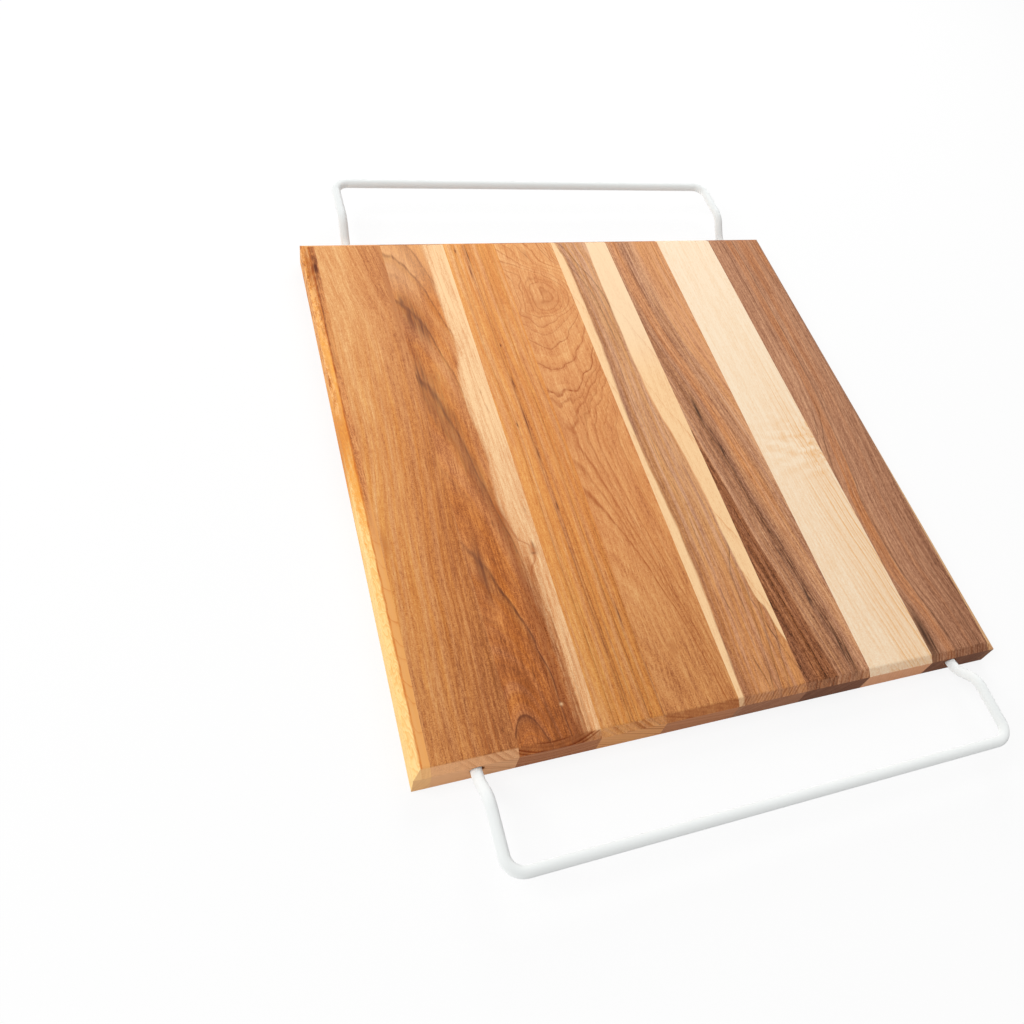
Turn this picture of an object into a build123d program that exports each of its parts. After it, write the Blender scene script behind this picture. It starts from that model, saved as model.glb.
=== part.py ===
from build123d import *
import os
from math import radians, tan

# Over-sink cutting board: edge-glued hardwood staves, and a bent wire arm that slides in each end.
# Millimetres, +Z up. The origin is on the underside, below the middle of the board.
# X runs across the staves from left to right, and Y along them from the front arm to the rear arm.

# Board, with its staves from the left edge to the right edge
board_length = 406.0
board_thickness = 19.0
stave_widths = {
    "stave_1_edge_strip": 9.3,
    "stave_2_cherry": 46.7,
    "stave_3_cherry": 46.9,
    "stave_4_cherry": 39.6,
    "stave_5_cherry": 46.7,
    "stave_6_walnut": 46.6,
    "stave_7_walnut": 46.1,
    "stave_8_maple": 48.4,
    "stave_9_walnut": 50.7,
}
bevel_run = 4.5  # of the top edges, inwards across the top face
bevel_drop = 3.0  # of the top edges, down the side
bevel_crown_radius = 2.5  # where the bevel rolls into the top face
underside_ease = 0.6  # small chamfer round the underside

# Wire arms: a bent steel rod in a white vinyl coat, as they lie when pushed in
rod_diameter = 5.4
rod_end_chamfer = 0.5
coat_thickness = 0.5
leg_insertion = 125.0  # length of each leg inside the board
jog_start = 5.0  # from the board's end to the corner of the first bend
jog_run = 15.0  # from that corner to the corner of the second bend
jog_rise = 14.0  # lift of the bar above the legs
jog_bend_radius = 14.0  # of the centre line
bar_reach = 59.5  # from the board's end to the bar's centre line
bar_bend_radius = 10.0  # of the centre line, where the bar turns into the legs

# Bores for the legs, drilled into both ends just below the bevel
bore_inset = 33.7  # from the board's side to the bore's axis
bore_drop = 8.0  # from the work surface down to the bore's axis
bore_clearance = 1.6  # of the bore's diameter over the coat's
bore_end_clearance = 15.0  # from the leg's end to the end of the bore's wall
bore_mouth_ease = 0.4
drill_point_angle = 118.0
leg_wall_gap = 0.25  # the legs spring outwards, to this far from the bore's outer wall

slice_margin = 1.0  # of the slices that cut the staves apart, beyond the board

# Sizes that follow
board_width = sum(stave_widths.values())
board_end = board_length / 2
coat_diameter = rod_diameter + 2 * coat_thickness
bore_diameter = coat_diameter + bore_clearance
bore_x = board_width / 2 - bore_inset
bore_height = board_thickness - bore_drop
bore_depth = leg_insertion + bore_end_clearance
leg_x = bore_x + bore_clearance / 2 - leg_wall_gap
bar_height = bore_height + jog_rise


def bore_cutter():
    """A drilled bore along +Y: the eased mouth on the XZ plane, a plain wall and the drill's point."""
    radius = bore_diameter / 2
    point_length = radius / tan(radians(drill_point_angle / 2))
    half_section = Polyline(
        (0, 0),
        (radius + bore_mouth_ease, 0),
        (radius, bore_mouth_ease),
        (radius, bore_depth),
        (0, bore_depth + point_length),
        close=True,
    )
    return revolve(make_face(half_section), Axis.Y)


def glued_panel():
    """The whole board in one: a slab with rolled bevels round the top, bored from both ends."""
    panel = Box(board_width, board_length, board_thickness, align=(Align.CENTER, Align.CENTER, Align.MIN))
    top = panel.faces().sort_by(Axis.Z)[-1]
    panel = chamfer(top.edges(), bevel_run, bevel_drop, reference=top)
    panel = fillet(panel.faces().sort_by(Axis.Z)[-1].edges(), bevel_crown_radius)
    panel = chamfer(panel.faces().sort_by(Axis.Z)[0].edges(), underside_ease)
    for x in (-bore_x, bore_x):
        panel -= Pos(x, -board_end, bore_height) * bore_cutter()
        panel -= Pos(x, board_end, bore_height) * Rot(0, 0, 180) * bore_cutter()
    return panel


def staves():
    """The panel cut along its glue lines, so that neighbouring staves share a face."""
    panel = glued_panel()
    left = -board_width / 2
    pieces = {}
    for node, width in stave_widths.items():
        cut = Box(width, board_length + 2 * slice_margin, board_thickness + 2 * slice_margin)
        pieces[node] = panel & Pos(left + width / 2, 0, board_thickness / 2) * cut
        left += width
    return pieces


def arm_path():
    """Centre line of the front arm, from the end of its left leg, along the bar, to that of its right leg."""
    left_side = [
        (-leg_x, leg_insertion - board_end, bore_height),
        (-leg_x, -board_end - jog_start, bore_height),
        (-leg_x, -board_end - jog_start - jog_run, bar_height),
        (-leg_x, -board_end - bar_reach, bar_height),
    ]
    right_side = [(-x, y, z) for x, y, z in reversed(left_side)]
    bends = [jog_bend_radius, jog_bend_radius, bar_bend_radius]
    return FilletPolyline(*left_side, *right_side, radius=bends + bends[::-1])


def front_arm():
    """The bent rod with its leg ends chamfered, and the coat that sleeves it from end to end."""
    path = arm_path()
    start = Plane(origin=path @ 0, z_dir=path % 0)
    rod = sweep(start * Circle(rod_diameter / 2), path)
    whole = sweep(start * Circle(coat_diameter / 2), path)
    coat = whole - rod
    leg_ends = rod.faces().sort_by(Axis.Y)[-2:]
    rod = chamfer(leg_ends.edges(), rod_end_chamfer)
    return {"rod": rod, "coat": coat}


parts = staves()
for layer, solid in front_arm().items():
    parts[f"front_arm_{layer}"] = solid
    parts[f"rear_arm_{layer}"] = Rot(0, 0, 180) * solid

os.makedirs("parts", exist_ok=True)
for node, solid in parts.items():
    export_step(solid, f"parts/{node}.step")
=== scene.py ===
"""Finishes an over-sink cutting board: oiled hardwood staves, vinyl-coated wire arms and a plain stage."""

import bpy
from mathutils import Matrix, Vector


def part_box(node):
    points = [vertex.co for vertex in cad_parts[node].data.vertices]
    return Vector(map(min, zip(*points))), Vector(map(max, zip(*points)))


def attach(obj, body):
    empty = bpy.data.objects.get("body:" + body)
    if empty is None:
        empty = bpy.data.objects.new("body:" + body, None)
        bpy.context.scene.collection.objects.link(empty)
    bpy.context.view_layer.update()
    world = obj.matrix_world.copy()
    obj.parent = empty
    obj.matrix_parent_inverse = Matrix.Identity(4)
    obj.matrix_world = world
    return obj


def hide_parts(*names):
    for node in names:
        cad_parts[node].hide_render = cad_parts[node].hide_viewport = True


bl_info = {
    "name": "Over-sink cutting board",
    "version": (1, 0, 0),
    "blender": (4, 5, 0),
    "location": "3D View > Sidebar > Board",
    "description": "Gives the staves their grain, coats the wire arms and sets the studio stage",
    "category": "Object",
}

import functools
import math
import bpy
import numpy as np
from mathutils import Matrix, Vector

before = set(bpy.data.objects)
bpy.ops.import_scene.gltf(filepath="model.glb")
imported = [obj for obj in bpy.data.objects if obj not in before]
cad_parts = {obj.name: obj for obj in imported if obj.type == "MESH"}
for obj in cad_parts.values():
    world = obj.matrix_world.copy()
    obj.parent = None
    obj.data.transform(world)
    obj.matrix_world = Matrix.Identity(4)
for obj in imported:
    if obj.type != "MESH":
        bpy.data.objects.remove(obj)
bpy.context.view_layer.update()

MM = 1000.0  # millimetres in a metre: the wood's patterns are written in millimetres
BOARD_LOW, BOARD_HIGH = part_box("stave_2_cherry")
BOARD_END = BOARD_HIGH.y * MM
BOARD_TOP = BOARD_HIGH.z * MM
ARM_LOW, ARM_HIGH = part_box("front_arm_coat")

BEND_STEPS = 14  # points along each bend of an arm
COAT_SIDES = 40  # points round an arm's coat
FLOOR_REACH = 6.0  # metres from the middle of the floor to its sides
SENSOR_WIDTH = 36.0  # millimetres, the frame that the lens setting is given for
WHITE = (1.0, 1.0, 1.0, 1.0)


def srgb(red, green, blue):
    """A colour as a picture shows it, 0 to 255, turned into linear light for a shader."""
    shown = np.array([red, green, blue]) / 255.0
    linear = np.where(shown <= 0.04045, shown / 12.92, ((shown + 0.055) / 1.055) ** 2.4)
    return tuple(float(c) for c in linear)


def colour(name, description, *shown):
    """A colour setting."""
    return bpy.props.FloatVectorProperty(
        name=name, description=description, subtype="COLOR", size=3, min=0, max=1, default=srgb(*shown)
    )


def length(name, description, millimetres):
    """A length setting, given in millimetres and kept in metres."""
    return bpy.props.FloatProperty(
        name=name, description=description, subtype="DISTANCE", unit="LENGTH", default=millimetres / MM
    )


def share(name, description, default):
    """A setting from 0 to 1."""
    return bpy.props.FloatProperty(
        name=name, description=description, subtype="FACTOR", min=0, max=1, default=default
    )


def power(name, description, watts):
    """A setting for a lamp's power."""
    return bpy.props.FloatProperty(name=name, description=description, unit="POWER", default=watts)


def position(name, description, *metres):
    """A setting for a point in the frame."""
    return bpy.props.FloatVectorProperty(
        name=name, description=description, subtype="TRANSLATION", default=metres
    )


class BoardWoods(bpy.types.PropertyGroup):
    """Colours of the woods under oil, and how glossy the oil leaves them."""

    cherry_light: colour("Cherry, light", "Golden early wood", 246, 192, 132)
    cherry_pale: colour("Cherry, pale", "Pale streaks", 231, 166, 107)
    cherry_mid: colour("Cherry, middle", "Body colour", 214, 141, 86)
    cherry_dark: colour("Cherry, dark", "Brown late wood", 176, 106, 64)
    cherry_brown: colour("Cherry, brown", "Darkest fibres", 138, 80, 47)
    cherry_deep: colour("Cherry, deep", "Ring lines", 112, 62, 38)
    cherry_end: colour("Cherry, end grain", "Pinkish end grain", 240, 181, 132)
    brown_end: colour("Cherry, brown end grain", "End grain of the darker cherry staves", 194, 133, 94)
    warm_streak: colour("Warm streak", "Tint of the more orange streaks", 255, 243, 208)
    front_tint: colour("Front tint", "Tint of the browner front ends of the staves", 248, 255, 255)
    ring_line: colour("Ring line", "Reddish ring lines of the cherry staves", 168, 88, 42)
    gum: colour("Gum", "Gum streaks and dark stains", 104, 54, 36)
    heart: colour("Heart stain", "Purple-brown stain round the heart of a stave", 112, 66, 46)
    sapwood: colour("Sapwood", "Cream sapwood along the edges of staves", 252, 211, 160)
    sapwood_dark: colour("Sapwood, dark", "Pinkish sapwood and its faint lines", 222, 156, 102)
    edge_gold: colour("Edge strip", "Golden sapwood", 254, 220, 156)
    edge_amber: colour("Edge strip, amber", "Amber sapwood towards the rear", 243, 172, 86)
    edge_tan: colour("Edge strip, tan", "Tan sapwood on top", 236, 172, 106)
    edge_line: colour("Edge strip, line", "Orange ring lines", 206, 116, 50)
    walnut_light: colour("Walnut, light", "Tan streaks", 224, 173, 134)
    walnut_pale: colour("Walnut, pale", "Pale wood", 198, 145, 111)
    walnut_mid: colour("Walnut, middle", "Body colour", 168, 117, 88)
    walnut_dark: colour("Walnut, dark", "Dark bands", 126, 82, 60)
    walnut_deep: colour("Walnut, deep", "Ring lines and black streaks", 62, 42, 33)
    walnut_orange: colour("Walnut, orange", "Tint of the orange bands", 255, 230, 196)
    maple_light: colour("Maple, light", "Body colour", 252, 230, 200)
    maple_dark: colour("Maple, dark", "Ring lines", 236, 180, 118)
    maple_end: colour("Maple, end grain", "End grain", 226, 160, 118)
    end_stain: colour("End stain", "Tint of the ring ends in the cut bevels and ends", 196, 158, 132)
    oil_roughness: share("Oil roughness", "Roughness of the oiled faces", 0.5)


class ArmFinish(bpy.types.PropertyGroup):
    """Shape and finish of the coated wire arms."""

    vinyl: colour("Vinyl", "Colour of the coat", 244, 246, 245)
    vinyl_roughness: share("Vinyl roughness", "Roughness of the coat", 0.5)
    steel: colour("Steel", "Colour of the drawn rod inside the coat", 150, 150, 152)
    coat_diameter: length("Coat diameter", "Outer diameter of the coat", 6.4)
    rod_diameter: length("Rod diameter", "Diameter of the rod inside the coat", 5.4)
    leg_height: length("Leg height", "Height of the legs' centre line", 11.0)
    jog_start: length("Jog start", "From the board's end to the corner of the first bend", 5.0)
    jog_run: length("Jog run", "From that corner to the corner of the second bend", 15.0)
    jog_bend: length("Jog bend", "Radius of the jog's bends", 14.0)
    bar_bend: length("Bar bend", "Radius of the bends beside the bar", 10.0)
    lip: length("Lip", "Roll of the coat's rim at the ends of the legs", 0.2)


class Stage(bpy.types.PropertyGroup):
    """Floor, lamps and camera."""

    floor: colour("Floor", "Colour of the floor", 250, 250, 250)
    floor_glow: share("Floor glow", "How far the floor is lifted to white where the camera sees it", 0.86)
    sky: share("Sky", "Strength of the even light from all round", 0.42)
    key_power: power("Key lamp", "Power of the soft lamp at the left", 27.0)
    key_size: length("Key lamp size", "Side of the key lamp's panel", 1200.0)
    key_place: position("Key lamp place", "Where the key lamp stands", -1.6, 0.0, 1.7)
    top_power: power("Top lamp", "Power of the soft lamp beyond the rear end", 7.0)
    top_size: length("Top lamp size", "Side of the top lamp's panel", 700.0)
    top_place: position("Top lamp place", "Where the top lamp hangs", 0.25, 1.0, 0.85)
    camera_place: position("Camera place", "Where the camera stands", -0.25728, -0.36378, 0.49009)
    camera_aim: position(
        "Camera aim", "Point on the work surface that the lens axis meets", -0.02942, -0.06082, 0.019
    )
    camera_roll: bpy.props.FloatProperty(
        name="Camera roll", description="Turn of the camera about the lens axis", subtype="ANGLE",
        default=math.radians(22.89)
    )
    lens: bpy.props.FloatProperty(
        name="Lens", description="Focal length on a 36 mm frame", unit="CAMERA", default=33.10
    )
    shift: bpy.props.FloatProperty(
        name="Shift", description="Sideways shift of the frame, as a share of its width", default=-0.1055
    )


def maths(operation, reflected=False):
    """A field's method that adds one Math node, on the field and another value or the other way round."""

    def method(self, *others):
        values = (*others, self) if reflected else (self, *others)
        return self.shader.node("ShaderNodeMath", {"operation": operation}, values)

    return method


class Field:
    """A number that varies over a surface: wraps a node's socket, so that arithmetic adds Math nodes."""

    def __init__(self, shader, socket):
        self.shader = shader
        self.socket = socket

    __add__ = maths("ADD")
    __radd__ = maths("ADD", reflected=True)
    __sub__ = maths("SUBTRACT")
    __rsub__ = maths("SUBTRACT", reflected=True)
    __mul__ = maths("MULTIPLY")
    __rmul__ = maths("MULTIPLY", reflected=True)
    __truediv__ = maths("DIVIDE")
    __pow__ = maths("POWER")
    __abs__ = maths("ABSOLUTE")
    sqrt = maths("SQRT")
    exp = maths("EXPONENT")
    floor = maths("FLOOR")
    fract = maths("FRACT")
    most = maths("MAXIMUM")

    def rise(self, low, high):
        """Climbs smoothly from 0 at low to 1 at high; low above high makes it fall."""
        settings = {"interpolation_type": "SMOOTHSTEP", "clamp": True}
        return self.shader.node("ShaderNodeMapRange", settings, [self, low, high, 0.0, 1.0])

    def band(self, low, high, soft):
        """1 between low and high, with soft flanks outside."""
        return self.rise(low - soft, low) * self.rise(high + soft, high)

    def other(self, output):
        """Another output of the same node."""
        return Field(self.shader, self.socket.node.outputs[output])


def strongest(fields):
    """The highest of several fields at each point."""
    return functools.reduce(Field.most, fields)


class Shader:
    """One material, whose patterns are written as expressions on fields."""

    MIX_COLOURS = {"data_type": "RGBA", "clamp_factor": True}
    FACTOR, FIRST, SECOND, MIXED = 0, 6, 7, 2  # sockets of a Mix node set to colours

    def __init__(self, name):
        self.material = bpy.data.materials.new(name)
        self.material.use_nodes = True
        self.tree = self.material.node_tree
        self.surface = self.tree.nodes["Principled BSDF"]

    def node(self, kind, settings, inputs, output=0):
        """Adds a node: its settings first, with a curve's points or a ramp's stops among them, and then the
        values or links of its sockets, by name, by number or in order."""
        made = self.tree.nodes.new(kind)
        for key, value in settings.items():
            if key == "points":
                self.bend(made.mapping, value)
            elif key == "stops":
                self.grade(made.color_ramp, value)
            else:
                setattr(made, key, value)
        pairs = inputs.items() if isinstance(inputs, dict) else enumerate(inputs)
        for key, value in pairs:
            self.put(made.inputs[key], value)
        return Field(self, made.outputs[output])

    def put(self, socket, value):
        """Links a field to a socket, or sets the socket's own value."""
        if isinstance(value, Field):
            self.tree.links.new(value.socket, socket)
        else:
            socket.default_value = value

    @staticmethod
    def bend(mapping, points):
        """Runs a curve through points, whose two sides both go from 0 to 1."""
        line = mapping.curves[0]
        line.points[0].location = points[0]
        line.points[1].location = points[-1]
        for place in points[1:-1]:
            line.points.new(*place)
        mapping.use_clip = False
        mapping.update()

    @staticmethod
    def grade(ramp, stops):
        """Gives a ramp its stops, each a place from 0 to 1 and a colour."""
        ramp.interpolation = "LINEAR"
        while len(ramp.elements) < len(stops):
            ramp.elements.new(0.5)
        for element, (place, tint) in zip(ramp.elements, stops):
            element.position = place
            element.color = (*tint, 1.0)

    def split(self, vector):
        """The three parts of a vector."""
        first = self.node("ShaderNodeSeparateXYZ", {}, [vector])
        return first, first.other(1), first.other(2)

    def place(self):
        """Where a point lies along x, y and z, in millimetres."""
        return [part * MM for part in self.split(self.node("ShaderNodeTexCoord", {}, {}, "Object"))]

    def noise(self, u, v, w, detail=2.0):
        """Smooth noise about zero, mostly within a quarter, with grains one unit of u, v and w long."""
        place = self.node("ShaderNodeCombineXYZ", {}, [u, v, w])
        inputs = {"Vector": place, "Scale": 1.0, "Detail": detail, "Roughness": 0.5}
        return self.node("ShaderNodeTexNoise", {}, inputs) - 0.5

    def line_noise(self, g, detail=1.0):
        """Smooth noise about zero along one coordinate."""
        settings = {"noise_dimensions": "1D"}
        return self.node("ShaderNodeTexNoise", settings, {"W": g, "Scale": 1.0, "Detail": detail}) - 0.5

    def lot(self, number):
        """An even random number from 0 to 1 for each whole number."""
        return self.node("ShaderNodeTexWhiteNoise", {"noise_dimensions": "1D"}, {"W": number})

    def ramp(self, tone, stops):
        """A colour read from graded stops at a tone from 0 to 1."""
        return self.node("ShaderNodeValToRGB", {"stops": stops}, [tone])

    def mix(self, amount, first, second, blend="MIX"):
        """Goes from the first colour to the second as the amount goes from 0 to 1."""
        inputs = {self.FACTOR: amount}
        for key, tint in ((self.FIRST, first), (self.SECOND, second)):
            inputs[key] = tint if isinstance(tint, Field) else (*tint, 1.0)
        return self.node("ShaderNodeMix", {**self.MIX_COLOURS, "blend_type": blend}, inputs, self.MIXED)

    def bump(self, height, distance):
        """A normal tilted by a height from 0 to 1, for relief of so many millimetres."""
        inputs = {"Height": height, "Strength": 1.0, "Distance": distance / MM}
        return self.node("ShaderNodeBump", {}, inputs)

    def set(self, **sockets):
        """Values and links of the surface's sockets, with spaces in their names as underscores."""
        for key, value in sockets.items():
            self.put(self.surface.inputs[key.replace("_", " ")], value)


class Wood(Shader):
    """A stave's material. u runs across the stave from its left edge, v along it from the board's middle to
    the rear end, and depth down from the work surface, all in millimetres."""

    # Fibres by width, length and weight, from specks to broad bands
    FIBRES = (
        (0.5, 0.8, 0.6), (0.8, 3, 0.44), (0.9, 10, 0.33), (1.1, 34, 0.36),
        (2.4, 14, 0.18), (2.6, 60, 0.3), (7, 200, 0.24),
    )
    BEVEL_FACING = (0.3, 0.6)  # how far a face turns to the board's ends, for the end bevels
    END_FACING = (0.75, 0.95)  # and for the ends themselves
    FLECK = 0.45  # size of the flecks in cut wood
    COMB_SPACING = 2.4  # of the ring ends in cut wood

    def __init__(self, node):
        super().__init__(node)
        self.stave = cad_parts[node]
        self.woods = bpy.context.scene.board_woods
        low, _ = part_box(node)
        x, self.v, z = self.place()
        self.u = x - low.x * MM
        self.depth = BOARD_TOP - z

    def along(self, *points):
        """A smooth curve along the stave through given points (v, value), with v in millimetres."""
        values = [value for v, value in points]
        base, span = min(values), max(values) - min(values)
        whole = 2 * BOARD_END
        knots = [((v + BOARD_END) / whole, (value - base) / span) for v, value in sorted(points)]
        run = (self.v + BOARD_END) / whole
        curve = self.node("ShaderNodeFloatCurve", {"points": knots}, {"Factor": 1.0, "Value": run})
        return curve * span + base

    def streaks(self, across, along, u=None, detail=0.0):
        """Fibres: noise about zero, so many millimetres wide and long."""
        u = self.u if u is None else u
        return self.noise(u / across, self.v / along, self.depth / across, detail)

    def grain(self, u=None):
        """Fibres of many lengths and specks added up, about zero."""
        return sum(self.streaks(across, along, u) * weight for across, along, weight in self.FIBRES)

    def threads(self, u=None):
        """Sparse long dark threads, from 0 to 1."""
        return self.streaks(1.3, 110, u, 1.0).rise(0.1, 0.3)

    def spot(self, u, v, half_width, half_length):
        """A soft oval: exp(-(du/half_width)^2 - (dv/half_length)^2)."""
        across = (self.u - u) / half_width
        lengthwise = (self.v - v) / half_length
        return (0.0 - across * across - lengthwise * lengthwise).exp()

    def spots(self, strength, *places):
        """The strongest of several soft ovals, each given as u, v, half width and half length."""
        return strongest([self.spot(*place) for place in places]) * strength

    def pith_distance(self, side, under, squeeze=1.0):
        """Ring coordinate: distance from a pith that runs under the stave, sqrt((squeeze (u - side))^2 +
        (under - depth)^2), where side, under and squeeze change along the stave."""
        sideways = (self.u - side) * squeeze
        down = under - self.depth
        return (sideways * sideways + down * down).sqrt()

    def lines(self, g, width, shade, *places):
        """The strongest of several ring lines, each a place on g and a strength: a thin line of the given
        width with the late wood's shade before it, breaking up a little along the grain."""
        found = []
        for place, strength in places:
            thin = g.rise(place - width, place) * g.rise(place + 0.6 * width, place)
            late = g.rise(place - shade, place) * g.rise(place + 0.4 * width, place)
            found.append(thin.most(late * 0.35) * strength)
        return strongest(found) * (0.95 + self.streaks(2.0, 14, None, 1.0) * 1.6)

    def rings(self, g, spacing):
        """Growth rings of a ring coordinate g: late wood that darkens towards each ring's edge, the thin
        line at that edge, and a random tone for each ring, all from 0 to 1. Most lines are faint."""
        count = g / spacing
        uneven = count + self.line_noise(count * 0.37, 2.0) * 1.6
        turn = uneven.fract()
        each = self.lot(uneven.floor())
        late = turn.rise(0.2, 0.96) * turn.rise(1.0, 0.97)
        line = turn.rise(0.8, 0.94) * turn.rise(1.0, 0.95) * each ** 2.0
        return late, line * (0.9 + self.streaks(2.0, 22) * 3.0), each

    def warm(self, tint, u=None, strength=1.0):
        """Turns some of the streaks more orange."""
        amount = 0.4 + self.streaks(3.2, 130, u, 2.0) * 3.0
        return self.mix(amount * strength, tint, self.woods.warm_streak, "MULTIPLY")

    def browned(self, tint, rear=0.0):
        """Takes a little red out towards the front end, and a share of that at the rear."""
        amount = self.v.rise(-40, -180) * (1.0 - rear) + rear
        return self.mix(amount, tint, self.woods.front_tint, "MULTIPLY")

    def shades(self, tone, *names):
        """A wood's colour at a tone from 0 to 1, through evenly spaced shades."""
        last = len(names) - 1
        return self.ramp(tone, [(i / last, getattr(self.woods, name)) for i, name in enumerate(names)])

    def cherry(self, tone):
        """Cherry from its darkest fibres at 0 to its golden early wood at 1."""
        return self.shades(tone, "cherry_brown", "cherry_dark", "cherry_mid", "cherry_pale", "cherry_light")

    def walnut(self, tone):
        """Walnut from its black streaks at 0 to its tan streaks at 1."""
        return self.shades(tone, "walnut_deep", "walnut_dark", "walnut_mid", "walnut_pale", "walnut_light")

    def pores(self, u=None):
        """Short dark dashes of cut vessels, from 0 to 1."""
        return self.streaks(0.55, 6, u, 1.0).rise(0.1, 0.26)

    def finish(self, tint, grain, bevel, amount, end, ends, comb):
        """Turns the colour towards bevel on the cut bevels, by an amount, and towards end on the ends, with
        flecks and a comb of ring ends that follows the coordinate ends, and sets the oiled surface: the
        fibres' relief under a faint sheen."""
        normal = self.node("ShaderNodeNewGeometry", {}, {}, "Normal")
        facing = abs(self.split(normal)[1])
        cut = facing.rise(*self.BEVEL_FACING)
        flecks = self.noise(self.u / self.FLECK, self.v / self.FLECK, self.depth / self.FLECK)
        late, _, each = self.rings(ends + flecks * 0.5, self.COMB_SPACING)
        tint = self.mix(cut * (amount + flecks * 1.3), tint, bevel)
        tint = self.mix(facing.rise(*self.END_FACING) * (0.9 + flecks * 0.8), tint, end)
        tint = self.mix(cut * late * (0.3 + each * 1.2) * comb, tint, self.woods.end_stain, "MULTIPLY")
        self.set(
            Base_Color=tint,
            Roughness=self.woods.oil_roughness + grain * 0.2,
            Specular_IOR_Level=0.0,
            Coat_Weight=0.12,
            Coat_Roughness=0.4,
            Normal=self.bump(0.5 + grain, 0.08),
        )
        self.stave.data.materials.clear()
        self.stave.data.materials.append(self.material)


def edge_strip(wood):
    """Narrow strip: golden sapwood bevel, tan top, heart wood at the rear and small arches in front."""
    woods, u, v, depth = wood.woods, wood.u, wood.v, wood.depth
    grain = wood.grain(u + v * 0.06)
    rear = v + wood.streaks(5, 50) * 160 + grain * 50
    wavy = wood.noise(u / 3, v / 9, depth / 3, 2.0)
    bevel = wood.mix(rear.rise(-60, 20) + wavy * 1.6 + grain, woods.edge_gold, woods.edge_amber)
    bevel = wood.mix(wood.spot(2, 24, 6, 30) * 0.8, bevel, woods.cherry_mid)
    bevel = wood.mix(wood.spot(3, 24, 6, 30) * 0.8, bevel, woods.warm_streak, "MULTIPLY")
    feather = wood.rings(v + u * 2.5 + wood.streaks(2, 6) * 16, 6.0)[0]
    figure = wood.cherry(0.92 + grain * 1.5 + wavy * 2.2 - feather * 0.3)
    bevel = wood.mix(rear.rise(40, 110), bevel, figure)
    heart = rear.rise(-70, 10) - wood.spot(7, 100, 5, 34) * 0.4
    flat = wood.mix(heart, woods.edge_tan, wood.cherry(0.45 + grain))
    crest = u + wood.streaks(1.5, 9) * 0.8
    tint = wood.mix(crest.rise(4.4, 5.0), bevel, flat)
    tint = wood.mix(feather * crest.band(1.5, 4.6, 1.8) * 0.5, tint, woods.edge_amber)
    tint = wood.mix(crest.band(4.7, 5.1, 0.7) * (0.6 + wavy * 1.6), tint, woods.edge_line)
    glue_line = 9.3  # at the strip's right edge, where the arches begin
    side = u - glue_line
    arch = v - side * side * 0.3 + wood.streaks(4, 12) * 7
    hooks = wood.lines(
        arch, 1.0, 2.5, (131, 0.9), (-37, 0.5), (-61, 0.6), (-78, 0.5), (-94, 0.6), (-114, 0.8),
        (-128, 0.6), (-138, 0.7), (-152, 0.8), (-164, 0.6), (-180, 0.5)
    )
    tint = wood.mix(hooks * crest.rise(3.0, 4.8) * 0.7, tint, woods.edge_line)
    streak = crest.band(5.2, 5.5, 0.5) * v.rise(0, 70) * 0.9
    streak = streak.most(wood.spots(1.0, (2.6, 180, 1.5, 20), (4.6, 170, 1.2, 30)))
    tint = wood.mix(streak * (0.75 + wavy * 2.4), tint, woods.ring_line)
    stain = wood.spots(0.9, (7.4, 176, 2.2, 26), (5.7, 140, 0.6, 36))
    tint = wood.mix(stain * (0.6 + wavy * 2.8 + wood.streaks(1.0, 14, None, 1.0) * 1.6), tint, woods.gum)
    tint = wood.warm(tint, None, 0.6)
    wood.finish(tint, grain, woods.cherry_light, 0.85, woods.cherry_light, u + depth * 0.4, 0.1)


def bowed_cherry(wood):
    """Tan cherry, browner to the right, with thin lines that bow to the right in the middle."""
    woods, u, v, depth = wood.woods, wood.u, wood.v, wood.depth
    bow = wood.along(
        (-203, -10.5), (-117, -9), (-60, -6.5), (0, -2), (50, -0.5), (110, 0), (150, -4), (203, -11)
    )
    straight = u - bow + wood.streaks(16, 70) * 3
    g = straight - depth * 1.7
    grain = wood.grain(straight)
    right = (u + wood.streaks(14, 60) * 24).rise(8, 46)
    # Lighter towards the rear end: partly the wood, partly painted fall-off of the light towards the front.
    tone = 0.62 - right * 0.2 + v * 0.0006 + grain * 0.8 + wood.streaks(13, 60, None, 1.0) * 0.3
    tone = tone + wood.spot(6, 105, 14, 60) * 0.07 - wood.spot(38, 180, 9, 36) * 0.14
    # Darker at the front end: partly the wood, partly painted shade.
    tone = tone - wood.threads(straight) * (0.04 + right * 0.05) - v.rise(-110, -185) * 0.05
    gold = 1.2 - v.rise(0, 150) - v.rise(-100, -185) * 0.6
    thin = wood.lines(
        g, 1.1, 4.0, (13, 0.25), (21.5, 0.35), (26, 0.25), (33.6, 0.55), (38, 0.25), (41.5, 0.6),
        (44.5, 0.4), (47.5, 0.65), (51, 0.4)
    )
    tint = wood.warm(wood.cherry(tone), g, gold)
    tint = wood.mix(thin * (0.3 + 0.4 * v.rise(30, -60)), tint, woods.ring_line)
    dark = wood.spots(0.5, (41.6, 94, 0.7, 1.8), (2.5, -62, 1.8, 7), (45, 150, 2.2, 60))
    tint = wood.mix(dark * (0.8 + grain * 3), tint, woods.cherry_dark)
    diagonal = (u - depth * 1.9) * 0.5
    tint = wood.browned(tint, 0.55)
    wood.finish(tint, grain, woods.cherry_end, 0.85, woods.cherry_end, diagonal, 0.45 * u.rise(8, 30))


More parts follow.
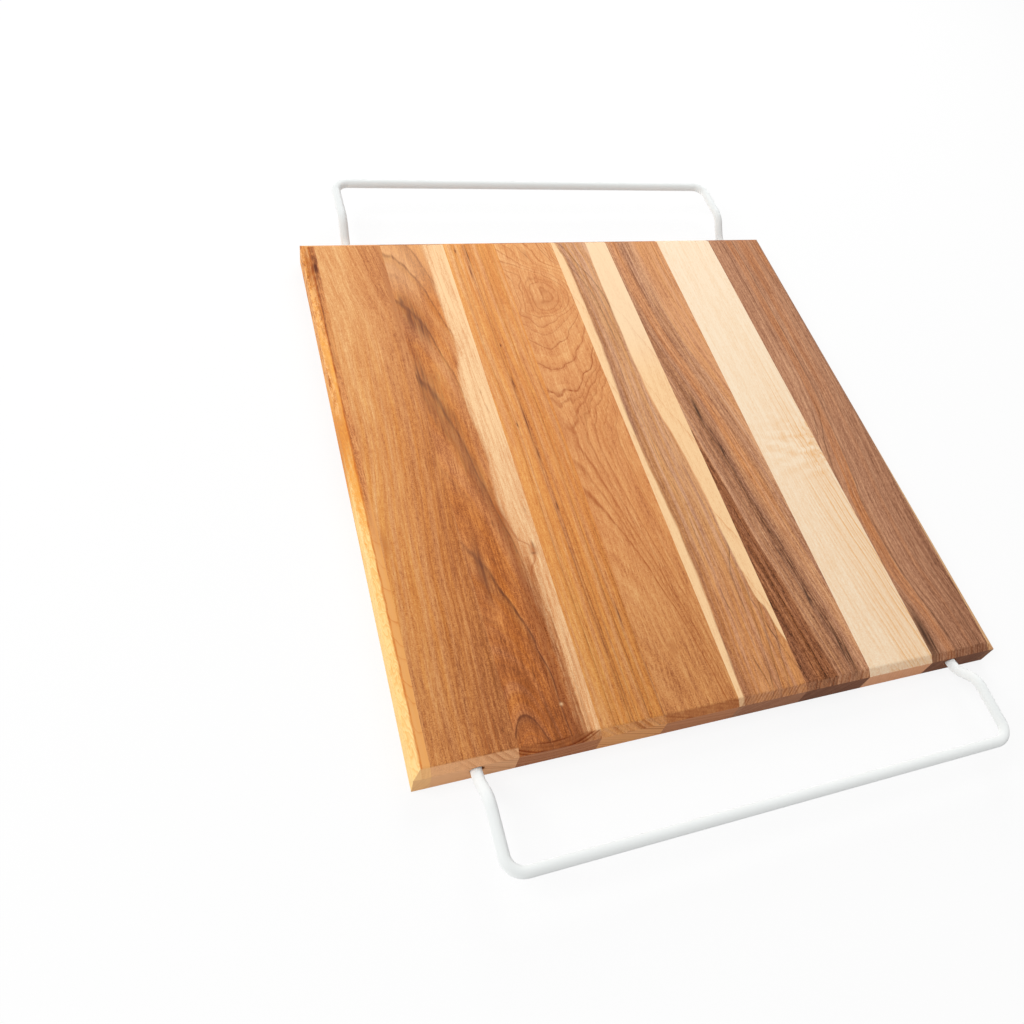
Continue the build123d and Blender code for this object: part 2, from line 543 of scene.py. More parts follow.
def heart_cherry(wood):
    """Cherry with arched ring lines, heart stain along them, sapwood on its right and a small knot."""
    woods, u, v, depth = wood.woods, wood.u, wood.v, wood.depth
    side = wood.along((-203, 8), (-170, 7), (-120, -3), (-60, -5), (203, -5))
    under = wood.along(
        (-203, 10), (-182, 23.5), (-140, 36), (-90, 44), (0, 52.4), (75, 58), (141, 65), (203, 73.5)
    )
    squeeze = wood.along(
        (-203, 2.0), (-180, 1.82), (-163, 1.56), (-147, 1.36), (-122, 1.03), (-60, 1.0), (203, 1.0)
    )
    g = wood.pith_distance(side, under, squeeze) + wood.streaks(18, 40) * 2.0 + wood.streaks(4, 12) * 0.6
    grain = wood.grain(u + wood.streaks(14, 70) * 5)
    # Darker towards the front: partly the heart's own colour, partly painted fall-off of the light.
    tone = 0.5 - v.rise(80, -120) * 0.14 + grain * 0.8 + wood.line_noise(g / 6) * 0.35
    tone = tone + wood.streaks(9, 45, None, 1.0) * 0.45 - wood.threads() * 0.06
    tone = tone + wood.spots(0.12, (4, 194, 9, 14), (16, 68, 8, 30))
    tone = tone - wood.spots(0.1, (4, 104, 9, 26), (6, -30, 8, 30), (22, -50, 8, 26))
    # Darker at the front end: partly the wood, partly painted shade.
    tone = tone - v.rise(-60, -110) * 0.08 - wood.spot(22, -185, 12, 34) * 0.1
    orange = wood.spots(0.9, (17, -110, 6, 60), (26, 150, 5, 40))
    tint = wood.mix(orange, wood.warm(wood.cherry(tone), g, 1.3), woods.warm_streak, "MULTIPLY")
    ragged = g + wood.streaks(2.5, 18, None, 1.0) * 5
    stain = wood.spots(0.9, (14, 112, 4.6, 15), (9, 124, 5.5, 16), (5, 138, 4.0, 9), (3, 66, 4.0, 22))
    stain = stain.most(ragged.band(56.5, 58, 3.0) * v.band(-30, 70, 24) * 0.5)
    smudge = wood.spot(7.2, -88, 2.6, 22) * 0.8
    fibrous = wood.streaks(1.4, 22, None, 1.0).rise(-0.22, 0.2)
    tint = wood.mix(stain.most(smudge) * (0.35 + fibrous * 0.65 + grain), tint, woods.heart)
    border = wood.along(
        (-203, 38.5), (-160, 36), (-125, 35.5), (-90, 34), (-72, 32.3), (-55, 30.4), (-33, 29.3),
        (0, 30.8), (35, 28.5), (60, 28.4), (95, 33), (130, 31.5), (203, 31)
    )
    edge = u - border + wood.streaks(2.2, 26, None, 1.0) * 1.8 + wood.streaks(0.8, 30) * 2.5
    shade = edge.rise(-11, -3) * v.rise(-25, -60)
    tint = wood.mix(shade * (0.15 + grain * 1.5), tint, woods.heart)
    rings = wood.lines(
        g, 0.8, 4.0, (23.5, 0.9), (29, 0.3), (34, 0.25), (40, 0.3), (46.5, 0.8), (52, 0.3), (57.8, 0.9),
        (61.5, 0.25), (65, 0.85), (68.5, 0.25), (71.8, 0.75), (76.5, 0.55), (81, 0.3), (85, 0.35)
    )
    # Paler and less red at the rear end: partly the wood, partly a painted sheen.
    tint = wood.mix(v.rise(125, 180) * 0.27, tint, woods.sapwood)
    tint = wood.mix(rings * 0.62, tint, woods.heart)
    hollow = wood.lines(g, 1.3, 5.0, (23.5, 1.0), (46.5, 0.9)) * v.rise(-70, -110)
    tint = wood.mix(hollow * 0.8, tint, woods.cherry_deep)
    blush = v.rise(60, -140) * 0.5 + edge.rise(9, 0) * 0.2 + wood.streaks(3, 60, None, 1.0) * 1.2
    drift = u - wood.along((-203, 46), (-100, 45), (0, 42), (80, 38.5), (203, 34))
    veins = wood.lines(drift, 0.6, 1.5, (-3.5, 0.5), (0, 0.8), (4, 0.6), (7.5, 0.5))
    cream = wood.mix(0.08 + blush - grain * 1.4 + rings * 0.4, woods.sapwood, woods.sapwood_dark)
    cream = wood.mix(veins * 0.6, cream, woods.cherry_mid)
    soft = 1.6 + v.rise(-30, -100) * 3.4
    edge = edge + (wood.streaks(0.9, 40) * 6 + wood.streaks(3.0, 40, None, 1.0) * 10) * v.rise(-40, -110)
    fade = v.rise(-60, -170) * (0.42 - u.rise(36, 43) * 0.42 + wood.streaks(1.4, 60) * 1.2)
    tint = wood.mix((edge / soft).rise(-0.9, 1.1) * (1 - fade), tint, cream)
    rough = edge.band(-7, 2, 5) * v.rise(-50, -120)
    tint = wood.mix(rough * (0.1 - grain * 1.1), tint, woods.end_stain, "MULTIPLY")
    lid = u - wood.along(
        (-203, 36), (-110, 34.5), (-98, 35.5), (-90, 38), (-82, 41), (-72, 34.5), (-56, 30), (-33, 26),
        (203, 26)
    )
    eye = lid.band(-0.3, 0.3, 0.9) * v.band(-92, -50, 12) * 0.45
    marks = wood.spots(
        0.6, (41, -82, 1.5, 0.9), (42, -76, 0.6, 3.0), (21.5, -57, 0.6, 2.6), (19.3, -160, 0.6, 4),
        (25, -185, 0.7, 2.6)
    )
    flecks = wood.spots(0.3, (40, 49, 0.4, 2.4), (41, 35, 0.4, 3), (44, -50, 0.5, 3))
    tint = wood.mix(eye.most(wood.spot(41.5, -80, 2.6, 4.0) * 0.6), tint, woods.ring_line)
    tint = wood.mix(marks.most(flecks), tint, woods.cherry_deep)
    tint = wood.mix(wood.spot(29.6, -180, 0.9, 0.9) * 0.7, tint, woods.sapwood)
    side = u - 20
    bowl = depth * 2 + side * side * 0.012
    wood.finish(tint, grain, woods.cherry_dark, 0.5, woods.brown_end, bowl, 0.9)


def gum_cherry(wood):
    """Narrow straight-grained orange cherry with thin lines and short dark gum streaks."""
    woods, u, v, depth = wood.woods, wood.u, wood.v, wood.depth
    lean = wood.along((-203, 3.5), (-90, 2.5), (0, 2.6), (90, 0.8), (203, 0))
    straight = u - lean + wood.streaks(12, 90) * 1.6
    g = straight - depth * 1.9
    grain = wood.grain(straight)
    each = wood.rings(g, 3.6)[2]
    # Lighter towards the rear end: partly the wood, partly painted fall-off of the light towards the front.
    tone = 0.7 - u.rise(4, 18) * 0.13 + v * 0.0004 + grain * 0.78 + (each - 0.5) * 0.05
    tone = tone + wood.streaks(9, 80, g, 1.0) * 0.1 - wood.threads(straight) * 0.05
    tint = wood.warm(wood.cherry(tone), g, 1.8)
    thin = wood.lines(
        g, 0.8, 2.6, (5.6, 0.4), (8.2, 0.25), (15, 0.5), (16.6, 0.45), (19.8, 0.3), (26.4, 0.5),
        (29.4, 0.25), (35, 0.35)
    )
    tint = wood.mix(thin * (0.65 + v.rise(-20, -120) * 0.35), tint, woods.cherry_deep)
    gum = wood.spots(
        0.85, (16.2, 186, 0.5, 8), (14.4, 167, 0.5, 6), (7.8, 191, 0.6, 2.4), (17.5, 55, 0.5, 6),
        (17.4, 20, 0.5, 14), (10.6, 18, 0.5, 2.4), (18, -8, 0.5, 6), (18.6, -50, 0.6, 3.4),
        (33, -133, 0.5, 7), (17.7, 91, 0.5, 1.6)
    )
    tint = wood.mix(gum, tint, woods.gum)
    tint = wood.browned(tint)
    end = wood.mix(v.rise(-100, 100), woods.cherry_pale, woods.brown_end)
    wood.finish(tint, grain, woods.cherry_end, 0.3, end, g * 0.4, 0.6)


def figured_cherry(wood):
    """Cherry with a closed oval figure, ragged arches in front of it and slanting lines further on."""
    woods, u, v, depth = wood.woods, wood.u, wood.v, wood.depth
    side = wood.along(
        (-203, -6), (-60, -5), (0, -2), (20, 4), (43, 10), (66, 13), (87, 14), (117, 17), (140, 25.5),
        (160, 20), (182, -4), (203, -8)
    )
    under = wood.along(
        (-203, 15), (-150, 28.5), (-100, 39.5), (-32, 49), (20, 51.5), (43, 48), (66, 41), (87, 34.6),
        (117, 22), (140, 13), (160, 19), (182, 22), (203, 27)
    )
    ragged = 0.25 + 0.75 * v.rise(-20, 40)
    g = wood.pith_distance(side, under) + (wood.streaks(9, 14) * 3.4 + wood.streaks(3.5, 5) * 0.8) * ragged
    grain = wood.grain(u + wood.streaks(14, 50) * 5)
    late, line, each = wood.rings(g, 4.2)
    # Lighter towards the rear end: partly the wood, partly painted fall-off of the light towards the front.
    tone = 0.6 + grain * 0.75 - late * 0.05 + (each - 0.5) * 0.08 + v * 0.00045
    tone = tone + wood.line_noise(g / 5) * 0.3
    tone = tone + wood.streaks(11, 50, None, 1.0) * 0.3 - wood.threads() * 0.05
    tone = tone + wood.spots(0.12, (6, 24, 7, 30), (10, -60, 4, 30))
    # Darker at the front end and lighter at the rear end: partly the wood, partly painted light and shade.
    tone = tone - v.rise(-120, -190) * 0.06 + v.rise(140, 190) * 0.05
    tint = wood.warm(wood.cherry(tone), g, 0.2)
    arches = wood.lines(
        g, 0.7, 1.6, (13.6, 0.4), (16.4, 0.45), (19, 0.4), (22, 0.5), (25.5, 0.45), (29.5, 0.35),
        (34.6, 0.6), (41.2, 0.65)
    )
    slants = wood.lines(
        g, 0.7, 1.6, (48.4, 0.75), (50.4, 0.5), (52.4, 0.6), (54.6, 0.45), (57, 0.5), (60.5, 0.35),
        (65, 0.45)
    )
    thin = (arches * v.rise(-50, 0)).most(slants)
    tint = wood.mix(thin.most(line * 0.2), tint, woods.ring_line)
    smudges = wood.spots(0.3, (19, -160, 2.6, 5), (22, 186, 3, 6), (22, 132, 9, 3.5), (5, 118, 2.5, 5))
    tint = wood.mix(smudges * (0.8 + grain * 3), tint, woods.ring_line)
    tint = wood.browned(tint)
    wood.finish(tint, grain, woods.cherry_dark, 0.6, woods.brown_end, depth * 1.8 - u * 0.25, 0.5)


def sap_walnut(wood):
    """Grey-brown walnut between two cream sapwood edges, the right one running out towards the front."""
    woods, u, v, depth = wood.woods, wood.u, wood.v, wood.depth
    left = wood.along(
        (-203, 3.3), (-175, 4.2), (-140, 5.5), (-95, 6.2), (-45, 5), (-20, 4), (10, 3.8), (40, 4.7),
        (75, 6.3), (110, 6.9), (165, 6.7), (190, 4.5), (203, 3.3)
    )
    right = wood.along(
        (-203, 58), (-175, 48), (-160, 44), (-145, 41.9), (-139, 39.5), (-133, 38.5), (-95, 36.3),
        (-40, 34), (-8, 31.7), (30, 27), (60, 26.3), (100, 26.7), (150, 27.5), (203, 29)
    )
    across = (u - left + wood.streaks(5, 50) * 2.4 + depth * 1.6) / (right - left)
    straight = u - left
    grain = wood.grain(straight)
    late, line, each = wood.rings(across * 24, 3.0)
    tone = 0.86 + grain * 0.85 - late * 0.05 + (each - 0.5) * 0.06
    # Lighter towards the rear end: partly the wood, partly painted fall-off of the light towards the front.
    tone = tone - straight.rise(11, 0.5) * 0.22 + v * 0.0003 + wood.streaks(5, 70, straight, 1.0) * 0.15
    tone = tone - wood.threads(straight) * 0.06 - wood.pores() * 0.06
    tint = wood.warm(wood.walnut(tone), straight, 1.4)
    tint = wood.mix(v.rise(-70, -150) * 0.45, tint, woods.walnut_orange, "MULTIPLY")
    lean = u - wood.along((-203, 30), (-170, 36), (-140, 41), (-125, 43), (203, 44))
    lean = lean + wood.streaks(6, 30) * 2
    slant = wood.lines(lean, 0.8, 2.5, (-7, 0.35), (-2, 0.45), (4.5, 0.4)) * v.rise(-105, -135)
    bend = u - wood.along(
        (90, 20), (110, 19), (130, 18), (153, 14), (173, 7), (186, 3), (203, -4), (-203, 22)
    )
    swing = wood.lines(bend, 0.8, 2.5, (0, 0.5), (4, 0.35), (8.5, 0.55)) * v.rise(60, 110)
    knee = u - wood.along((203, 37), (-85, 37), (-97, 36), (-110, 31.5), (-125, 29), (-203, 27))
    fork = wood.lines(knee, 0.8, 3.0, (0, 0.5), (4.5, 0.35)) * v.band(-140, -97, 12)
    tint = wood.mix((line * 0.5).most(slant).most(swing).most(fork), tint, woods.walnut_deep)
    arc = u + v * 0.3 - wood.streaks(8, 20) * 5
    faint = wood.lines(arc, 0.8, 4.0, (68, 0.4), (42.5, 0.4), (16, 0.5), (3, 0.4))
    pink = 0.05 - grain * 1.1 + faint * 1.1 + wood.spot(42, 70, 5, 60) * 0.15
    cream = wood.mix(pink, woods.sapwood, woods.sapwood_dark)
    cream = wood.mix(v.rise(40, 110) * u.rise(20, 30) * 0.36, cream, woods.maple_light)
    left_sap = (straight + wood.streaks(1.5, 18) * 1.2).rise(0.9, -0.9)
    edge = u - right + wood.streaks(2.5, 24, None, 1.0) * 1.8
    tint = wood.mix(left_sap.most(edge.rise(-0.7, 0.9)), tint, cream)
    rim = edge.band(0, 0.5, 0.7) * v.band(-60, 40, 30) * 0.5
    tint = wood.mix(rim, tint, woods.cherry_mid)
    wood.finish(tint, grain, woods.walnut_pale, 0.4, woods.walnut_mid, u + depth * 1.6, 0.6)


def striped_walnut(wood):
    """Walnut in orange, grey and dark red stripes on a slant, with black streaks in front."""
    woods, u, v, depth = wood.woods, wood.u, wood.v, wood.depth
    lean = wood.along(
        (-203, 43), (-150, 37), (-83, 29), (-17, 22), (6, 19), (45, 13), (95, 5), (136, 1.5), (203, 0)
    )
    g = u - lean + wood.streaks(8, 80) * 3.5 + depth * 0.5
    grain = wood.grain(u - lean)
    late, line, each = wood.rings(g, 2.4)
    broad = wood.rings(g + 31, 5.5)[2]
    levels = (
        (-44, 0.34), (-20.5, 0.36), (-19.5, 0.6), (-9, 0.58), (-7, 0.52), (-4, 0.57), (3, 0.72), (9, 0.72),
        (12, 0.62), (18, 0.66), (21, 0.82), (32, 0.9), (46, 0.92),
    )
    offset, span = 44, 92
    stops = [((place + offset) / span, (shown,) * 3) for place, shown in levels]
    level = wood.ramp((g + offset) / span, stops)
    tone = level + grain - late * 0.08 + (each - 0.5) * 0.12 + (broad - 0.5) * 0.06 - wood.pores(g) * 0.06
    tone = tone - v.rise(-130, -190) * u.band(14, 30, 4) * 0.06 - wood.spot(40, -110, 10, 30) * 0.07
    tint = wood.warm(wood.walnut(tone - wood.threads(g) * 0.06 + 0.06), g, 0.7)
    orange = g.band(3, 9, 2.5) * (0.2 + 0.8 * v.rise(-130, -20))
    orange = orange.most(g.band(24, 46, 4) * v.rise(-60, 60) * 0.8)
    orange = orange.most(g.band(-44, -20, 1.5))
    tint = wood.mix(orange * 0.6, tint, woods.walnut_orange, "MULTIPLY")
    tint = wood.mix(line * 0.5, tint, woods.walnut_deep)
    ragged = g + wood.streaks(2, 40, None, 1.0) * 1.6
    black = wood.lines(
        ragged, 0.7, 1.8, (-3.2, 0.35), (-5, 0.55), (-6.6, 0.75), (-8.8, 0.5), (-13, 0.3), (-19.8, 0.35)
    ) * v.rise(60, -20)
    short = wood.spots(
        0.9, (28, -142, 0.8, 10), (16.8, -22, 0.8, 8), (11.8, 16, 1.4, 13), (34, -178, 0.7, 16),
        (37, -186, 0.6, 13)
    )
    tint = wood.mix(black.most(short), tint, woods.walnut_deep)
    wood.finish(tint, grain, woods.walnut_pale, 0.35, woods.walnut_dark, (u + depth * 0.8) * 0.8, 0.6)


def cream_maple(wood):
    """Pale maple with fine lines, stronger to the right and in front, and a small curl at its right."""
    woods, u, v, depth = wood.woods, wood.u, wood.v, wood.depth
    curl = wood.spot(45, -28, 7, 24)
    wave = wood.spot(30, -24, 24, 26)
    ripple = wood.noise(u / 18, v / 6, depth / 8, 1.0)
    swirl = wood.noise(u / 4, v / 4, depth / 4, 1.0)
    lean = wood.along((-203, 17), (-120, 8), (-60, 2.5), (0, 0), (203, -3)) * u.rise(-10, 40)
    straight = u - lean + ripple * wave * 4 + swirl * curl * 5 + wood.streaks(10, 30) * 1.6
    grain = wood.grain(straight)
    late, line, each = wood.rings(straight - depth * 0.6, 2.2)
    strength = 0.15 + 0.85 * u.rise(6, 40) * v.rise(110, -30)
    deep = 0.08 + grain * 0.85 + (late * each * 0.6 + line * 0.3) * strength
    deep = deep + curl * (0.25 + swirl * 1.4) + wave * ripple * 1.5
    # Deeper towards the front and to the right: partly the maple's own colour, partly painted fall-off of
    # the light away from the lamps.
    deep = deep + v.rise(140, -200) * (0.13 + u.rise(14, 48) * 0.14)
    tint = wood.mix(deep, woods.maple_light, woods.maple_dark)
    wood.finish(tint, grain, woods.maple_end, 0.12, woods.maple_end, u - depth * 0.3, 0.1)


def banded_walnut(wood):
    """Walnut with orange bands and dark lines that bend left in front, and sapwood on its right bevel."""
    woods, u, v, depth = wood.woods, wood.u, wood.v, wood.depth
    bend = wood.along(
        (-203, -2.5), (-170, -5.5), (-150, -9), (-117, -11.5), (-83, -10.7), (-58, -8.2), (0, -2.5),
        (50, 0.8), (140, 1.5), (203, 0)
    )
    g = u - bend * (1.3 - u * 0.02) + wood.streaks(7, 70) * 1.8 + depth * 0.4
    grain = wood.grain(u - bend)
    late, line, each = wood.rings(g, 2.6)
    tone = 0.65 + grain * 0.82 - late * 0.07 + (each - 0.5) * 0.07 + wood.streaks(6, 90, g, 1.0) * 0.08
    tone = tone - wood.pores(g) * 0.06 - wood.threads(g) * 0.05 - u.rise(15, 45) * v.rise(40, -150) * 0.14
    orange = g.band(16.5, 21, 2.0) * (0.7 + 0.4 * wood.spot(8, -90, 20, 60))
    orange = orange.most(g.band(28.5, 31, 2.0) * v.rise(-20, 60) * 0.7)
    orange = orange.most(g.band(34, 35, 1.5) * 0.3)
    orange = orange.most(wood.spots(1.0, (32, 170, 5, 36), (45, 180, 4, 30), (7, -100, 4, 45)))
    orange = orange * (0.75 + wood.streaks(2.0, 60, g, 1.0) * 1.6)
    # The drop at the front end is partly the wood, partly painted shade.
    tone = tone + orange * 0.05 - v.rise(-130, -190) * 0.05 + wood.spot(8, 40, 8, 40) * 0.1
    tint = wood.warm(wood.walnut(tone), g, 0.1)
    tint = wood.mix(orange * 0.9, tint, woods.walnut_orange, "MULTIPLY")
    dark = wood.lines(g, 0.9, 2.2, (11.6, 0.25), (22.8, 0.45), (26, 0.2), (37.5, 0.2), (41, 0.2))
    curve = u - wood.along((-203, 0), (-60, 0), (-43, 2.7), (-24, 6.5), (-5, 12.7), (20, 17), (203, 18))
    swing = wood.lines(curve, 0.9, 2.2, (0, 0.5), (-5, 0.35)) * v.rise(30, 0) * v.rise(-60, -40)
    tint = wood.mix(dark.most(line * 0.35).most(swing), tint, woods.walnut_deep)
    tint = wood.mix(wood.spots(0.9, (2.6, -185, 2.6, 20), (5.5, -190, 0.9, 12)), tint, woods.walnut_deep)
    border = wood.along((-203, 45.4), (-180, 45.6), (-150, 46.2), (-80, 46.8), (-40, 49), (203, 56))
    sap = (u - border + wood.streaks(3, 50) * 2).rise(-0.3, 0.8)
    cream = wood.mix(0.5 - grain, woods.sapwood, woods.sapwood_dark)
    tint = wood.mix(sap, tint, cream)
    wood.finish(tint, grain, woods.walnut_mid, 0.3, woods.walnut_dark, u + depth * 0.4, 0.6)


def fillet_path(corners, radii):
    """A path of straight runs and tangent arcs: each corner P between directions a and b gives way to the
    arc c + (sin((1 - t) s) p + sin(t s) q) / sin(s), where s is the angle that it sweeps, and p and q lead
    from its middle c to its two ends, r / tan(angle / 2) from P."""
    corners = np.asarray(corners, float)
    pieces = [corners[:1]]
    turns = np.linspace(0.0, 1.0, BEND_STEPS)[:, None]
    for before, corner, after, radius in zip(corners, corners[1:], corners[2:], radii):
        a = (before - corner) / np.linalg.norm(before - corner)
        b = (after - corner) / np.linalg.norm(after - corner)
        half = np.arccos(a @ b) / 2
        middle = corner + (a + b) / np.linalg.norm(a + b) * radius / np.sin(half)
        first = corner + a * radius / np.tan(half) - middle
        last = corner + b * radius / np.tan(half) - middle
        sweep = np.pi - 2 * half
        arc = (np.sin((1 - turns) * sweep) * first + np.sin(turns * sweep) * last) / np.sin(sweep)
        pieces.append(middle + arc)
    pieces.append(corners[-1:])
    return np.concatenate(pieces)


def sleeve(name, path, outer, inner, lip):
    """A closed sleeve along a path: circles p + R(s) (cos t n + sin t b) carried on frames that turn with
    the path, out along the outer radius and back along the inner one, with rims of the given roll."""
    tangents = np.gradient(path, axis=0)
    tangents /= np.linalg.norm(tangents, axis=1)[:, None]
    normals = np.empty_like(path)
    normals[0] = np.cross(tangents[0], (1.0, 0.0, 0.0))
    for i in range(1, len(path)):
        carried = normals[i - 1] - tangents[i] * (normals[i - 1] @ tangents[i])
        normals[i] = carried / np.linalg.norm(carried)
    binormals = np.cross(tangents, normals)
    # Each rim is three circles, which grow as they leave the end of the path
    rim = lip * np.array([0.0, 0.3, 1.0])
    rolled = outer - lip * np.array([1.0, 0.3, 0.0])
    between = len(path) - 2
    out = np.concatenate([[0, 0, 0], np.arange(1, len(path) - 1), [-1, -1, -1]])
    order = np.concatenate([out, out[::-1]])
    inset = np.concatenate([rim, np.zeros(between), -rim[::-1], np.zeros(len(out))])
    radius = np.concatenate([rolled, np.full(between, outer), rolled[::-1], np.full(len(out), inner)])
    turn = np.linspace(0.0, 2 * np.pi, COAT_SIDES, endpoint=False)[None, :, None]
    spokes = np.cos(turn) * normals[order][:, None] + np.sin(turn) * binormals[order][:, None]
    centres = path[order] + tangents[order] * inset[:, None]
    return grid_mesh(name, centres[:, None] + radius[:, None, None] * spokes)


def grid_mesh(name, points):
    """A mesh on a grid of points that closes on itself both ways, with smooth faces."""
    rows, columns = points.shape[:2]
    here = np.arange(rows * columns).reshape(rows, columns)
    faces = np.stack(
        [here, np.roll(here, -1, 1), np.roll(np.roll(here, -1, 0), -1, 1), np.roll(here, -1, 0)], -1
    ).reshape(-1, 4)
    mesh = bpy.data.meshes.new(name)
    mesh.from_pydata(points.reshape(-1, 3).tolist(), [], faces.tolist())
    mesh.validate()
    mesh.shade_smooth()
    made = bpy.data.objects.new(name, mesh)
    bpy.context.scene.collection.objects.link(made)
    return made


def arm_path(finish):
    """Centre line of the front arm: leg, jog, bar, jog and leg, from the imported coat's own box."""
    radius = finish.coat_diameter / 2
    leg = ARM_HIGH.x - radius
    bar = ARM_LOW.y + radius
    lift = ARM_HIGH.z - radius
    end = BOARD_LOW.y
    left = [
        (-leg, ARM_HIGH.y, finish.leg_height),
        (-leg, end - finish.jog_start, finish.leg_height),
        (-leg, end - finish.jog_start - finish.jog_run, lift),
        (-leg, bar, lift),
    ]
    right = [(-x, y, z) for x, y, z in reversed(left)]
    radii = [finish.jog_bend, finish.jog_bend, finish.bar_bend]
    return fillet_path(left + right, radii + radii[::-1])


def white_vinyl():
    """Smooth dipped vinyl: faint long ripples and a slightly uneven sheen."""
    finish = bpy.context.scene.arm_finish
    shader = Shader("white_vinyl")
    x, y, z = shader.place()
    ripple = shader.noise(x / 9, y / 9, z / 9, 1.0)
    grime = shader.noise(x / 30, y / 30, z / 30, 3.0)
    tint = shader.mix(0.2 + grime * 0.5, finish.vinyl, tuple(0.93 * c for c in finish.vinyl))
    shader.set(
        Base_Color=tint,
        Roughness=finish.vinyl_roughness + grime * 0.2,
        Diffuse_Roughness=1.0,
        Specular_IOR_Level=0.25,
        Normal=shader.bump(0.5 + ripple, 0.004),
    )
    return shader.material


def drawn_steel():
    """Bare drawn rod with fine scratches along it."""
    finish = bpy.context.scene.arm_finish
    shader = Shader("drawn_steel")
    x, y, z = shader.place()
    scratch = shader.noise(x / 0.2, y / 8, z / 0.2, 2.0)
    tint = shader.mix(0.5 + scratch, finish.steel, tuple(0.7 * c for c in finish.steel))
    shader.set(
        Base_Color=tint,
        Metallic=1.0,
        Roughness=0.38 + scratch * 0.3,
        Normal=shader.bump(0.5 + scratch, 0.02),
    )
    return shader.material


class BOARD_OT_edge_strip(bpy.types.Operator):
    """Finish the narrow edge strip"""

    bl_idname = "board.edge_strip"
    bl_label = "Edge strip"

    def execute(self, context):
        edge_strip(Wood("stave_1_edge_strip"))
        return {"FINISHED"}


class BOARD_OT_cherry(bpy.types.Operator):
    """Finish the cherry staves"""

    bl_idname = "board.cherry"
    bl_label = "Cherry staves"

    def execute(self, context):
        bowed_cherry(Wood("stave_2_cherry"))
        heart_cherry(Wood("stave_3_cherry"))
        gum_cherry(Wood("stave_4_cherry"))
        figured_cherry(Wood("stave_5_cherry"))
        return {"FINISHED"}


class BOARD_OT_walnut(bpy.types.Operator):
    """Finish the walnut staves"""

    bl_idname = "board.walnut"
    bl_label = "Walnut staves"

    def execute(self, context):
        sap_walnut(Wood("stave_6_walnut"))
        striped_walnut(Wood("stave_7_walnut"))
        banded_walnut(Wood("stave_9_walnut"))
        return {"FINISHED"}


class BOARD_OT_maple(bpy.types.Operator):
    """Finish the maple stave"""

    bl_idname = "board.maple"
    bl_label = "Maple stave"

    def execute(self, context):
        cream_maple(Wood("stave_8_maple"))
        return {"FINISHED"}


class BOARD_OT_arms(bpy.types.Operator):
    """Sleeve both arms in smooth vinyl and finish the rods inside"""

    bl_idname = "board.arms"
    bl_label = "Wire arms"

    def execute(self, context):
        finish = context.scene.arm_finish
        vinyl = white_vinyl()
        steel = drawn_steel()
        path = arm_path(finish)
        for body, way in (("front_arm", 1.0), ("rear_arm", -1.0)):
            turned = path * np.array([way, way, 1.0])
            outer = finish.coat_diameter / 2
            inner = finish.rod_diameter / 2
            coat = sleeve(body + "_vinyl", turned, outer, inner, finish.lip)
            coat.data.materials.append(vinyl)
            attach(coat, body)
            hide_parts(body + "_coat")
            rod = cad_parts[body + "_rod"]
            rod.data.materials.clear()
            rod.data.materials.append(steel)
        return {"FINISHED"}


class BOARD_OT_stage(bpy.types.Operator):
    """Lay the floor, hang the lamps and stand the camera"""

    bl_idname = "board.stage"
    bl_label = "Stage"

    def execute(self, context):
        stage = context.scene.board_stage
        lay_floor(stage)
        light(stage)
        stand_camera(stage)
        context.scene.view_settings.view_transform = "Standard"
        return {"FINISHED"}


def seen_directly(shader):
    """1 for rays from the camera, straight, by a mirror or through glass, and 0 for the light on things."""
    seen = shader.node("ShaderNodeLightPath", {}, {}, "Is Camera Ray")
    return seen.most(seen.other("Is Glossy Ray")).most(seen.other("Is Transmission Ray"))


def lay_floor(stage):
    """A wide square that the board lies on, lifted towards white where it is seen."""
    shader = Shader("floor")
    shader.set(Base_Color=(*stage.floor, 1.0), Roughness=0.9, Specular_IOR_Level=0.0)
    glow = shader.node("ShaderNodeEmission", {}, {"Color": WHITE, "Strength": 1.0})
    plain = Field(shader, shader.surface.outputs[0])
    both = shader.node("ShaderNodeMixShader", {}, [seen_directly(shader) * stage.floor_glow, plain, glow])
    shader.put(shader.tree.nodes["Material Output"].inputs["Surface"], both)
    mesh = bpy.data.meshes.new("floor")
    corners = [(x * FLOOR_REACH, y * FLOOR_REACH, 0.0) for x, y in ((-1, -1), (1, -1), (1, 1), (-1, 1))]
    mesh.from_pydata(corners, [], [(0, 1, 2, 3)])
    mesh.materials.append(shader.material)
    floor = bpy.data.objects.new("floor", mesh)
    bpy.context.scene.collection.objects.link(floor)


class Sky(Shader):
    """The world's nodes, written with the same tools as a material's."""

    def __init__(self, world):
        world.use_nodes = True
        self.tree = world.node_tree


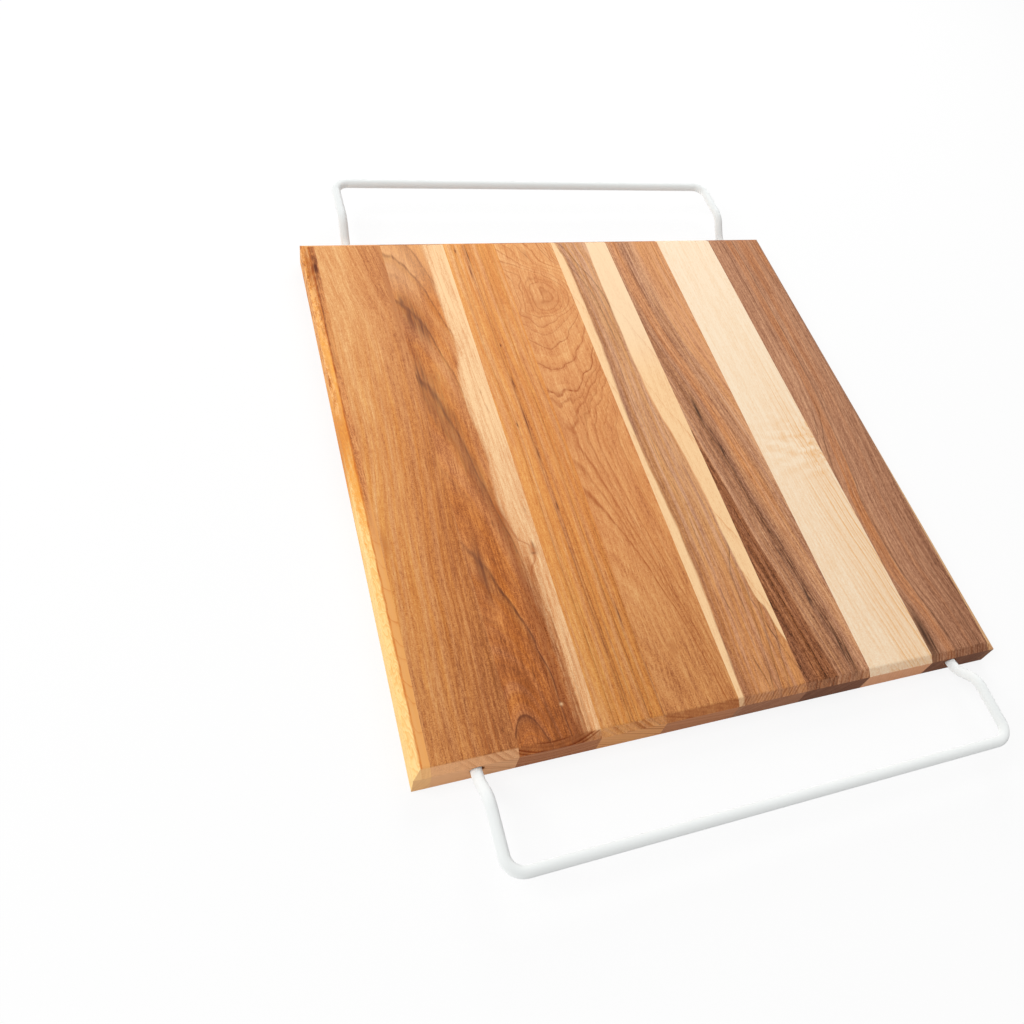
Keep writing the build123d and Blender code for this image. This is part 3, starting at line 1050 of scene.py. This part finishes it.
def light(stage):
    """Even light from all round, and two soft panels aimed at the board."""
    world = bpy.context.scene.world or bpy.data.worlds.new("sky")
    bpy.context.scene.world = world
    sky = Sky(world)
    back = sky.tree.nodes["Background"]
    back.inputs["Color"].default_value = WHITE
    sky.put(back.inputs["Strength"], seen_directly(sky) * (1.0 - stage.sky) + stage.sky)
    for name in ("key", "top"):
        lamp = bpy.data.lights.new(name, "AREA")
        lamp.energy = getattr(stage, name + "_power")
        lamp.size = getattr(stage, name + "_size")
        panel = bpy.data.objects.new(name, lamp)
        place = Vector(getattr(stage, name + "_place"))
        turn = (-place).to_track_quat("-Z", "Y").to_matrix()
        panel.matrix_world = Matrix.Translation(place) @ turn.to_4x4()
        bpy.context.scene.collection.objects.link(panel)


def stand_camera(stage):
    """A camera at its place, aimed along the lens axis and rolled about it."""
    data = bpy.data.cameras.new("camera")
    data.sensor_width = SENSOR_WIDTH
    data.lens = stage.lens
    data.shift_x = stage.shift
    camera = bpy.data.objects.new("camera", data)
    axis = Vector(stage.camera_aim) - Vector(stage.camera_place)
    turn = axis.to_track_quat("-Z", "Y").to_matrix() @ Matrix.Rotation(stage.camera_roll, 3, "Z")
    camera.matrix_world = Matrix.Translation(stage.camera_place) @ turn.to_4x4()
    bpy.context.scene.collection.objects.link(camera)
    bpy.context.scene.camera = camera


SETTINGS = {"board_woods": BoardWoods, "arm_finish": ArmFinish, "board_stage": Stage}
OPERATORS = (
    BOARD_OT_edge_strip, BOARD_OT_cherry, BOARD_OT_walnut, BOARD_OT_maple, BOARD_OT_arms, BOARD_OT_stage
)


class BOARD_PT_panel(bpy.types.Panel):
    """Steps of the board's finish and the settings behind them"""

    bl_label = "Cutting board"
    bl_space_type = "VIEW_3D"
    bl_region_type = "UI"
    bl_category = "Board"

    def draw(self, context):
        for operator in OPERATORS:
            self.layout.operator(operator.bl_idname)
        for group in SETTINGS:
            settings = getattr(context.scene, group)
            for name in settings.__annotations__:
                self.layout.prop(settings, name)


def register():
    for cls in (*SETTINGS.values(), *OPERATORS, BOARD_PT_panel):
        bpy.utils.register_class(cls)
    for name, group in SETTINGS.items():
        setattr(bpy.types.Scene, name, bpy.props.PointerProperty(type=group))


def unregister():
    for name in SETTINGS:
        delattr(bpy.types.Scene, name)
    for cls in reversed((*SETTINGS.values(), *OPERATORS, BOARD_PT_panel)):
        bpy.utils.unregister_class(cls)


def main():
    """Registers the add-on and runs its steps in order."""
    register()
    bpy.ops.board.edge_strip()
    bpy.ops.board.cherry()
    bpy.ops.board.walnut()
    bpy.ops.board.maple()
    bpy.ops.board.arms()
    bpy.ops.board.stage()


if __name__ == "__main__":
    main()
